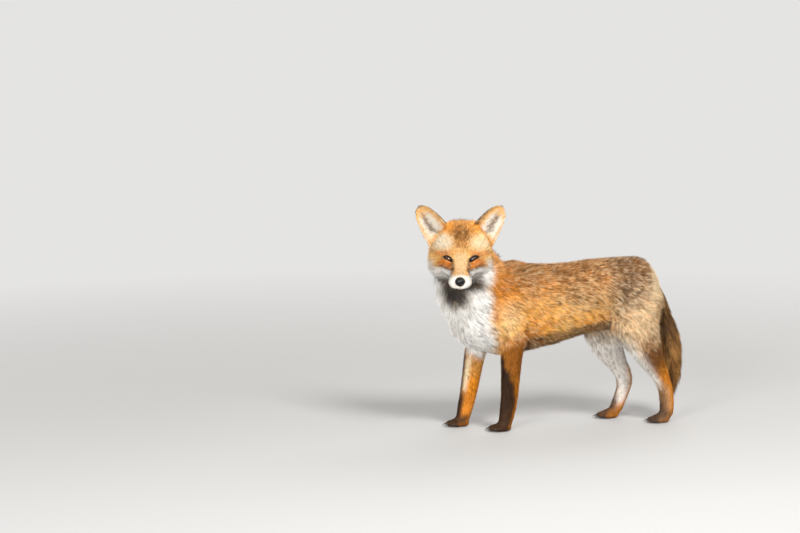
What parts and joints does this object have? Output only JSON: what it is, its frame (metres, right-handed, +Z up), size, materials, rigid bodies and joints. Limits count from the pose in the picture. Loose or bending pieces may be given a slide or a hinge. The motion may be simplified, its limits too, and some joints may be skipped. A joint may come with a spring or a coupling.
{
  "type": "red fox",
  "caption": "Life-size red fox standing square with its head turned to its left, bushy tail hanging, as a still display model.",
  "frame": {"origin": "on the floor, under the middle of the bounding box", "axes": "+Z up, the body faces -Y, the animal's left side is +X"},
  "size_m": [0.2182, 0.6104, 0.4913],
  "materials": {
    "coat_russet": "fur: russet-orange guard hairs with darker and cream tips",
    "coat_grizzled": "fur: grey-brown grizzled with cream tips",
    "coat_white": "fur: white to grey-white",
    "coat_dark": "fur: brown-black",
    "coat_cream": "fur: cream",
    "eye": "wet amber eye",
    "nose": "moist black nose leather",
    "claw": "dark horn"
  },
  "bodies": {
    "root": {"head": "coat_russet", "lower_jaw": "coat_white", "neck": "coat_russet", "chest": "coat_russet", "belly": "coat_russet", "hips": "coat_grizzled", "tail_upper": "coat_grizzled", "tail_lower": "coat_dark", "ear_left": "coat_cream", "forearm_left": "coat_russet", "forefoot_left": "coat_dark", "thigh_left": "coat_grizzled", "shank_left": "coat_russet", "hindfoot_left": "coat_russet", "ear_right": "coat_cream", "forearm_right": "coat_russet", "forefoot_right": "coat_dark", "thigh_right": "coat_grizzled", "shank_right": "coat_russet", "hindfoot_right": "coat_russet", "eye_left": "eye", "eye_right": "eye", "nose": "nose", "claw_fore_left_1": "claw", "claw_fore_left_2": "claw", "claw_fore_left_3": "claw", "claw_fore_left_4": "claw", "claw_hind_left_1": "claw", "claw_hind_left_2": "claw", "claw_hind_left_3": "claw", "claw_hind_left_4": "claw", "claw_fore_right_1": "claw", "claw_fore_right_2": "claw", "claw_fore_right_3": "claw", "claw_fore_right_4": "claw", "claw_hind_right_1": "claw", "claw_hind_right_2": "claw", "claw_hind_right_3": "claw", "claw_hind_right_4": "claw"}
  },
  "joints": []
}
